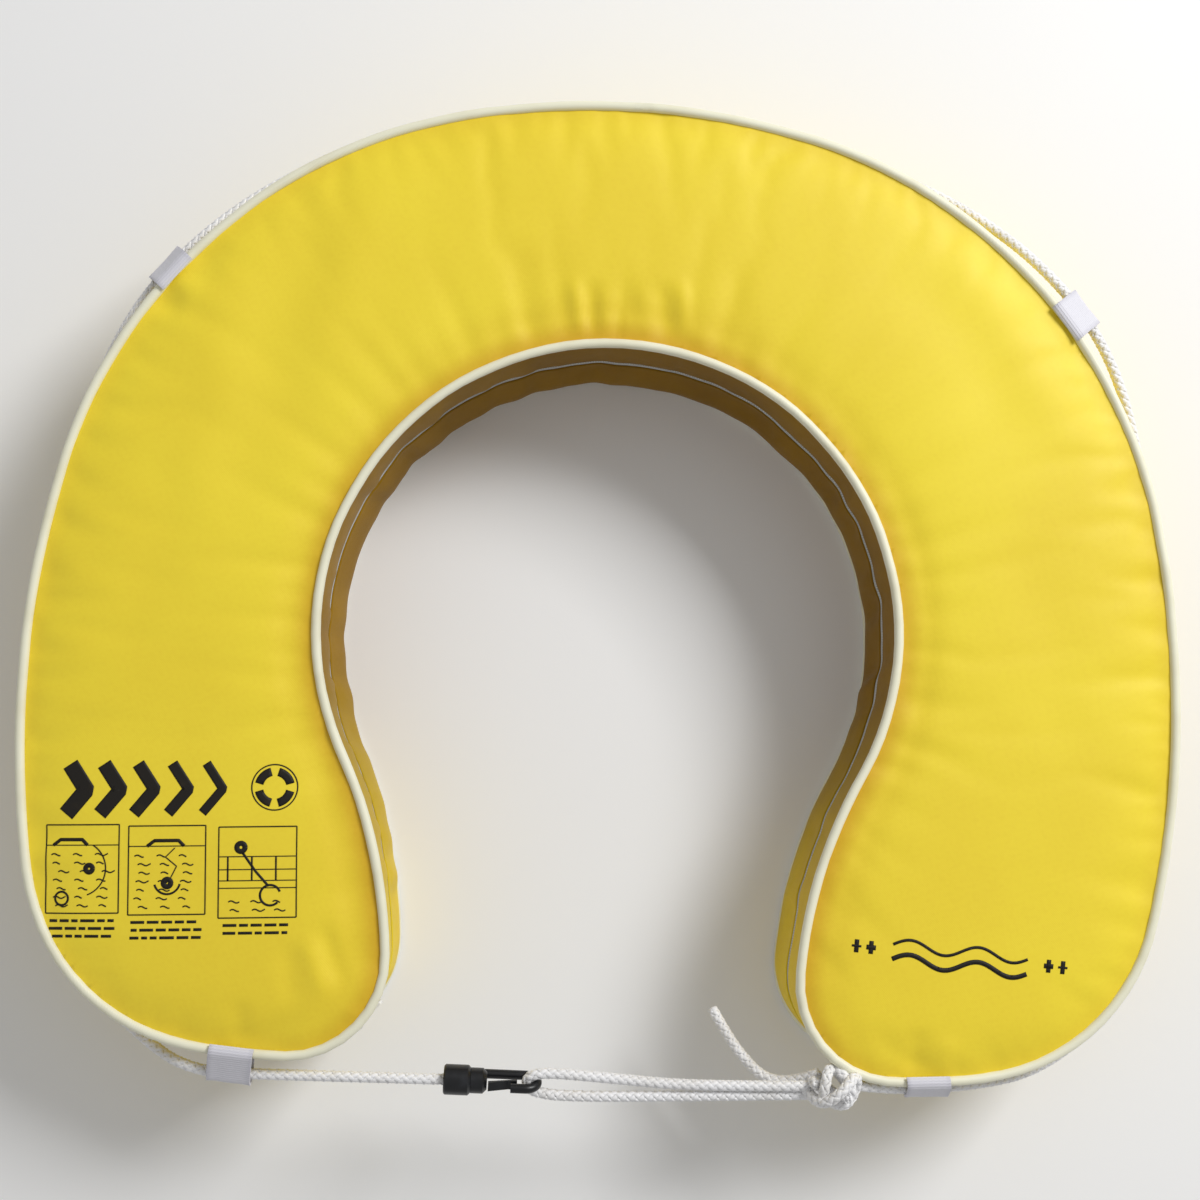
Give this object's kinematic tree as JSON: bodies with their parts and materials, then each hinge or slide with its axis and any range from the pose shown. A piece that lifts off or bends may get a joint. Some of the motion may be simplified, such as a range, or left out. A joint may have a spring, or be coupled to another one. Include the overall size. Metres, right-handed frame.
{
  "type": "horseshoe lifebuoy",
  "caption": "Horseshoe-shaped buoyancy aid: foam core in a zipped cloth cover with piping, webbing tabs, a grab rope and a snap hook across the open end.",
  "frame": {"origin": "on the back face, at the middle of the buoy's length and width, leaving out the rope and what is on it", "axes": "+Z from the back panel to the front panel, +Y to the crown of the arch, +X to the arm that carries the rope's loop knot"},
  "size_m": [0.6586, 0.5732, 0.106],
  "materials": {
    "cover_cloth": "fine woven polyester, satin",
    "piping": "cream vinyl piping, soft sheen",
    "foam": "closed-cell polyethylene foam",
    "zip_tape": "woven zip tape",
    "zip_coil": "moulded nylon coil",
    "zip_metal": "die-cast, satin",
    "zip_pull": "moulded plastic",
    "webbing": "white woven webbing",
    "rope": "white braided polypropylene",
    "hook": "black moulded acetal, satin"
  },
  "bodies": {
    "buoy": {"front_panel": "cover_cloth", "back_panel": "cover_cloth", "outer_wall": "cover_cloth", "inner_wall_front": "cover_cloth", "inner_wall_back": "cover_cloth", "front_piping": "piping", "back_piping": "piping", "foam_front_slab": "foam", "foam_back_slab": "foam", "zip_tape_front": "zip_tape", "zip_tape_back": "zip_tape", "zip_coil_front": "zip_coil", "zip_coil_back": "zip_coil", "zip_stop_slider_end": "zip_metal", "zip_stop_far_end": "zip_metal", "rope_tab_lower_left": "webbing", "rope_tab_upper_left": "webbing", "rope_tab_upper_right": "webbing", "rope_tab_lower_right": "webbing", "grab_rope": "rope", "rope_loop": "rope", "rope_tail": "rope", "loop_knot": "rope", "stopper_knot": "rope", "hook_collar": "hook", "hook_body": "hook"},
    "zip_slider": {"zip_slider": "zip_metal"},
    "zip_pull": {"zip_pull": "zip_pull"},
    "hook_gate": {"hook_gate": "hook"}
  },
  "joints": [
    {"name": "slider_travel", "type": "hinge", "parent": "buoy", "child": "zip_slider", "pos_m": [-0.16683, -0.20811, 0.05], "axis": [0, 0, 1], "range_deg": [0, 40]},
    {"name": "pull_swing", "type": "hinge", "parent": "zip_slider", "child": "zip_pull", "pos_m": [-0.13089, -0.25093, 0.05], "axis": [0, 0, -1], "range_deg": [0, 165]},
    {"name": "tongue_flex", "type": "hinge", "parent": "buoy", "child": "hook_gate", "pos_m": [-0.0538, -0.27383, 0.08876], "axis": [0, 0.9336, 0.3584], "range_deg": [0, 20], "stiffness_Nm_per_rad": 0.05}
  ]
}
